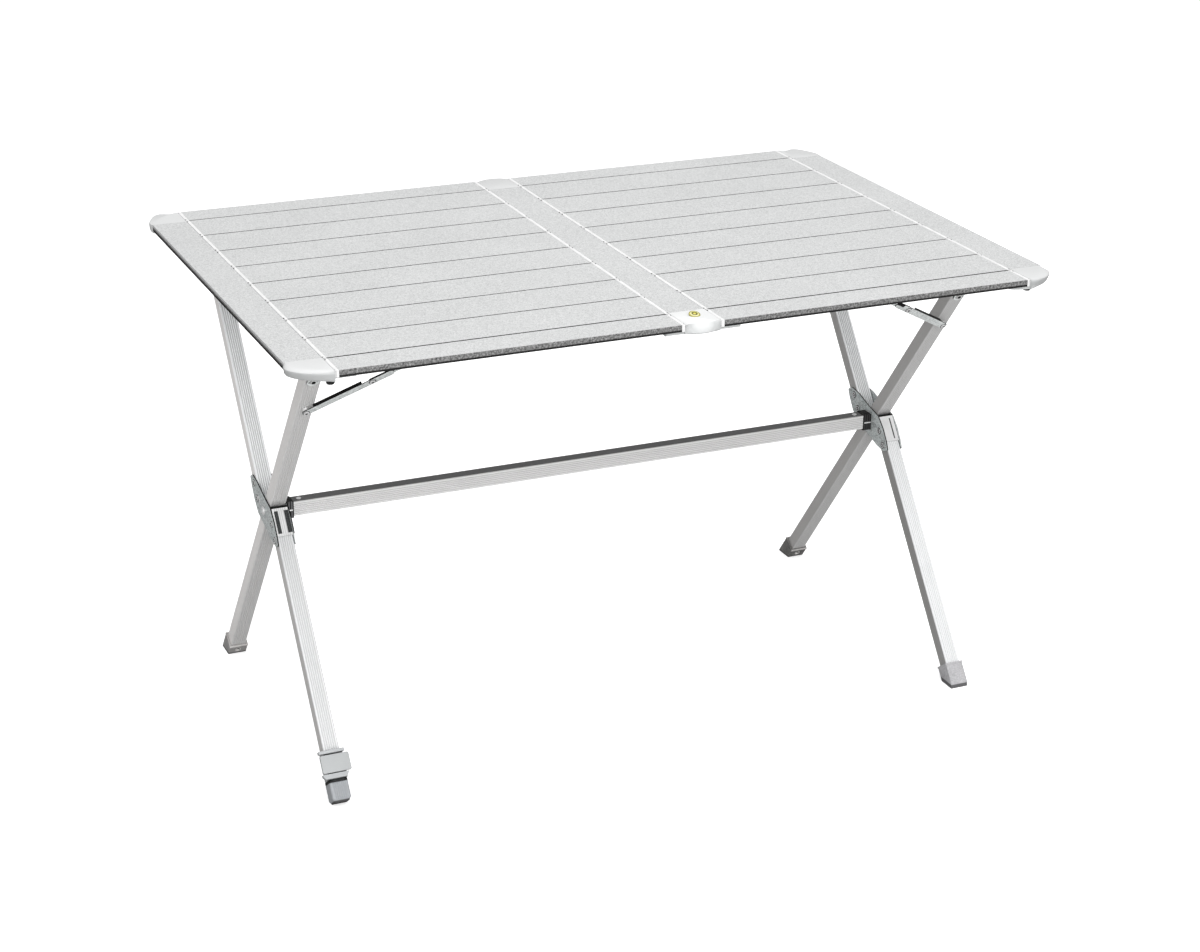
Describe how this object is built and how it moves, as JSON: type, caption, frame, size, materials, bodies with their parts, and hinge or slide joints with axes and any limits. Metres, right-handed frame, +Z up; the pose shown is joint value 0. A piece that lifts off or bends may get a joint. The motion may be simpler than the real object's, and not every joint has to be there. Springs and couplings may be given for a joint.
{
  "type": "folding table",
  "caption": "Slatted rectangular folding table on a closing cross-leg frame with a joining crossbar, hinged roll-up top panels, side braces and a height-adjustable foot.",
  "frame": {"origin": "on the floor, below the middle of the top", "axes": "+Z up, +X along the long side, -Y towards the front, the side with the level"},
  "size_m": [1.176, 0.816, 0.7],
  "materials": {
    "anodised_slat": "fine-grained satin anodised aluminium, white plastic end plugs",
    "anodised_bar": "fine-grained satin anodised aluminium",
    "leg_aluminium": "satin anodised, drawn lengthways",
    "white_plastic": "smooth satin",
    "black_rubber": "matte",
    "level_liquid": "clear yellow-green with a ring",
    "grey_plastic": "fine matte",
    "light_grey_plastic": "fine matte",
    "dark_grey_plastic": "fine matte",
    "ribbed_grey_plastic": "fine matte",
    "dark_plastic": "fine matte",
    "zinc_plate": "zinc plated, slightly mottled",
    "zinc_rivet": "zinc plated, bright"
  },
  "bodies": {
    "table_top": {"left_end_bar": "anodised_bar", "mid_bar": "anodised_bar", "right_end_bar": "anodised_bar", "left_front_cap": "white_plastic", "left_rear_cap": "white_plastic", "mid_front_cap": "white_plastic", "mid_rear_cap": "white_plastic", "right_front_cap": "white_plastic", "right_rear_cap": "white_plastic", "cap_studs": "black_rubber", "level_vial": "level_liquid", "rail_clips": "grey_plastic", "left_slat_10": "anodised_slat", "right_slat_10": "anodised_slat"},
    "front_frame": {"front_rail": "leg_aluminium", "front_hangers": "zinc_plate", "long_leg_left": "leg_aluminium", "long_leg_right": "leg_aluminium", "front_stays": "zinc_plate", "front_links": "zinc_plate", "front_tabs": "zinc_plate", "front_rivets": "zinc_rivet", "rear_foot_left": "dark_grey_plastic", "rear_foot_right": "dark_grey_plastic"},
    "rear_frame": {"rear_rail": "leg_aluminium", "rear_hangers": "zinc_plate", "upper_leg_left": "leg_aluminium", "upper_leg_right": "leg_aluminium", "lower_leg_left": "leg_aluminium", "lower_leg_right": "leg_aluminium", "outer_plates": "zinc_plate", "inner_plates": "zinc_plate", "pivot_pins": "zinc_rivet", "rear_rivets": "zinc_rivet", "joint_covers": "white_plastic", "front_foot_right": "grey_plastic", "crossbar": "leg_aluminium", "crossbar_connector_left": "dark_plastic", "crossbar_connector_right": "dark_plastic", "adjuster_sleeve": "grey_plastic"},
    "lever": {"adjuster_lever": "light_grey_plastic"},
    "extending_foot": {"adjuster_foot": "ribbed_grey_plastic"},
    "left_slat_09": {"left_slat_09": "anodised_slat"},
    "left_slat_08": {"left_slat_08": "anodised_slat"},
    "left_slat_07": {"left_slat_07": "anodised_slat"},
    "left_slat_06": {"left_slat_06": "anodised_slat"},
    "left_slat_05": {"left_slat_05": "anodised_slat"},
    "left_slat_04": {"left_slat_04": "anodised_slat"},
    "left_slat_03": {"left_slat_03": "anodised_slat"},
    "left_slat_02": {"left_slat_02": "anodised_slat"},
    "left_slat_01": {"left_slat_01": "anodised_slat"},
    "right_slat_09": {"right_slat_09": "anodised_slat"},
    "right_slat_08": {"right_slat_08": "anodised_slat"},
    "right_slat_07": {"right_slat_07": "anodised_slat"},
    "right_slat_06": {"right_slat_06": "anodised_slat"},
    "right_slat_05": {"right_slat_05": "anodised_slat"},
    "right_slat_04": {"right_slat_04": "anodised_slat"},
    "right_slat_03": {"right_slat_03": "anodised_slat"},
    "right_slat_02": {"right_slat_02": "anodised_slat"},
    "right_slat_01": {"right_slat_01": "anodised_slat"}
  },
  "joints": [
    {"name": "front_frame_fold", "type": "hinge", "parent": "table_top", "child": "front_frame", "pos_m": [0, -0.27107, 0.672], "axis": [-1, 0, 0], "range_deg": [0, 36.8]},
    {"name": "rear_frame_fold", "type": "hinge", "parent": "front_frame", "child": "rear_frame", "pos_m": [0, -0.0123, 0.3508], "axis": [1, 0, 0], "range_deg": [0, 73.6]},
    {"name": "left_roll_9", "type": "hinge", "parent": "table_top", "child": "left_slat_09", "pos_m": [0, 0.348, 0.7], "axis": [-1, 0, 0], "range_deg": [0, 34]},
    {"name": "left_roll_8", "type": "hinge", "parent": "left_slat_09", "child": "left_slat_08", "pos_m": [0, 0.261, 0.7], "axis": [-1, 0, 0], "range_deg": [0, 35]},
    {"name": "left_roll_7", "type": "hinge", "parent": "left_slat_08", "child": "left_slat_07", "pos_m": [0, 0.174, 0.7], "axis": [-1, 0, 0], "range_deg": [0, 35]},
    {"name": "left_roll_6", "type": "hinge", "parent": "left_slat_07", "child": "left_slat_06", "pos_m": [0, 0.087, 0.7], "axis": [-1, 0, 0], "range_deg": [0, 35]},
    {"name": "left_roll_5", "type": "hinge", "parent": "left_slat_06", "child": "left_slat_05", "pos_m": [0, 0, 0.7], "axis": [-1, 0, 0], "range_deg": [0, 35]},
    {"name": "left_roll_4", "type": "hinge", "parent": "left_slat_05", "child": "left_slat_04", "pos_m": [0, -0.087, 0.7], "axis": [-1, 0, 0], "range_deg": [0, 35]},
    {"name": "left_roll_3", "type": "hinge", "parent": "left_slat_04", "child": "left_slat_03", "pos_m": [0, -0.174, 0.7], "axis": [-1, 0, 0], "range_deg": [0, 35]},
    {"name": "left_roll_2", "type": "hinge", "parent": "left_slat_03", "child": "left_slat_02", "pos_m": [0, -0.261, 0.7], "axis": [-1, 0, 0], "range_deg": [0, 35]},
    {"name": "left_roll_1", "type": "hinge", "parent": "left_slat_02", "child": "left_slat_01", "pos_m": [0, -0.348, 0.7], "axis": [-1, 0, 0], "range_deg": [0, 35]},
    {"name": "right_roll_9", "type": "hinge", "parent": "table_top", "child": "right_slat_09", "pos_m": [0, 0.348, 0.7], "axis": [-1, 0, 0], "range_deg": [0, 34]},
    {"name": "right_roll_8", "type": "hinge", "parent": "right_slat_09", "child": "right_slat_08", "pos_m": [0, 0.261, 0.7], "axis": [-1, 0, 0], "range_deg": [0, 35]},
    {"name": "right_roll_7", "type": "hinge", "parent": "right_slat_08", "child": "right_slat_07", "pos_m": [0, 0.174, 0.7], "axis": [-1, 0, 0], "range_deg": [0, 35]},
    {"name": "right_roll_6", "type": "hinge", "parent": "right_slat_07", "child": "right_slat_06", "pos_m": [0, 0.087, 0.7], "axis": [-1, 0, 0], "range_deg": [0, 35]},
    {"name": "right_roll_5", "type": "hinge", "parent": "right_slat_06", "child": "right_slat_05", "pos_m": [0, 0, 0.7], "axis": [-1, 0, 0], "range_deg": [0, 35]},
    {"name": "right_roll_4", "type": "hinge", "parent": "right_slat_05", "child": "right_slat_04", "pos_m": [0, -0.087, 0.7], "axis": [-1, 0, 0], "range_deg": [0, 35]},
    {"name": "right_roll_3", "type": "hinge", "parent": "right_slat_04", "child": "right_slat_03", "pos_m": [0, -0.174, 0.7], "axis": [-1, 0, 0], "range_deg": [0, 35]},
    {"name": "right_roll_2", "type": "hinge", "parent": "right_slat_03", "child": "right_slat_02", "pos_m": [0, -0.261, 0.7], "axis": [-1, 0, 0], "range_deg": [0, 35]},
    {"name": "right_roll_1", "type": "hinge", "parent": "right_slat_02", "child": "right_slat_01", "pos_m": [0, -0.348, 0.7], "axis": [-1, 0, 0], "range_deg": [0, 35]},
    {"name": "foot_lever_open", "type": "hinge", "parent": "rear_frame", "child": "lever", "pos_m": [-0.5128, -0.2793, 0.06896], "axis": [-1, 0, 0], "range_deg": [0, 65]},
    {"name": "foot_extension", "type": "slide", "parent": "rear_frame", "child": "extending_foot", "axis": [0, -0.606, -0.7955], "range_m": [0, 0.04]}
  ],
  "couplings": [
    {"joint": "rear_frame_fold", "follows": "front_frame_fold", "ratio": 2},
    {"joint": "left_roll_8", "follows": "left_roll_9", "ratio": 1},
    {"joint": "left_roll_7", "follows": "left_roll_9", "ratio": 1},
    {"joint": "left_roll_6", "follows": "left_roll_9", "ratio": 1},
    {"joint": "left_roll_5", "follows": "left_roll_9", "ratio": 1},
    {"joint": "left_roll_4", "follows": "left_roll_9", "ratio": 1},
    {"joint": "left_roll_3", "follows": "left_roll_9", "ratio": 1},
    {"joint": "left_roll_2", "follows": "left_roll_9", "ratio": 1},
    {"joint": "left_roll_1", "follows": "left_roll_9", "ratio": 1},
    {"joint": "right_roll_8", "follows": "right_roll_9", "ratio": 1},
    {"joint": "right_roll_7", "follows": "right_roll_9", "ratio": 1},
    {"joint": "right_roll_6", "follows": "right_roll_9", "ratio": 1},
    {"joint": "right_roll_5", "follows": "right_roll_9", "ratio": 1},
    {"joint": "right_roll_4", "follows": "right_roll_9", "ratio": 1},
    {"joint": "right_roll_3", "follows": "right_roll_9", "ratio": 1},
    {"joint": "right_roll_2", "follows": "right_roll_9", "ratio": 1},
    {"joint": "right_roll_1", "follows": "right_roll_9", "ratio": 1}
  ]
}
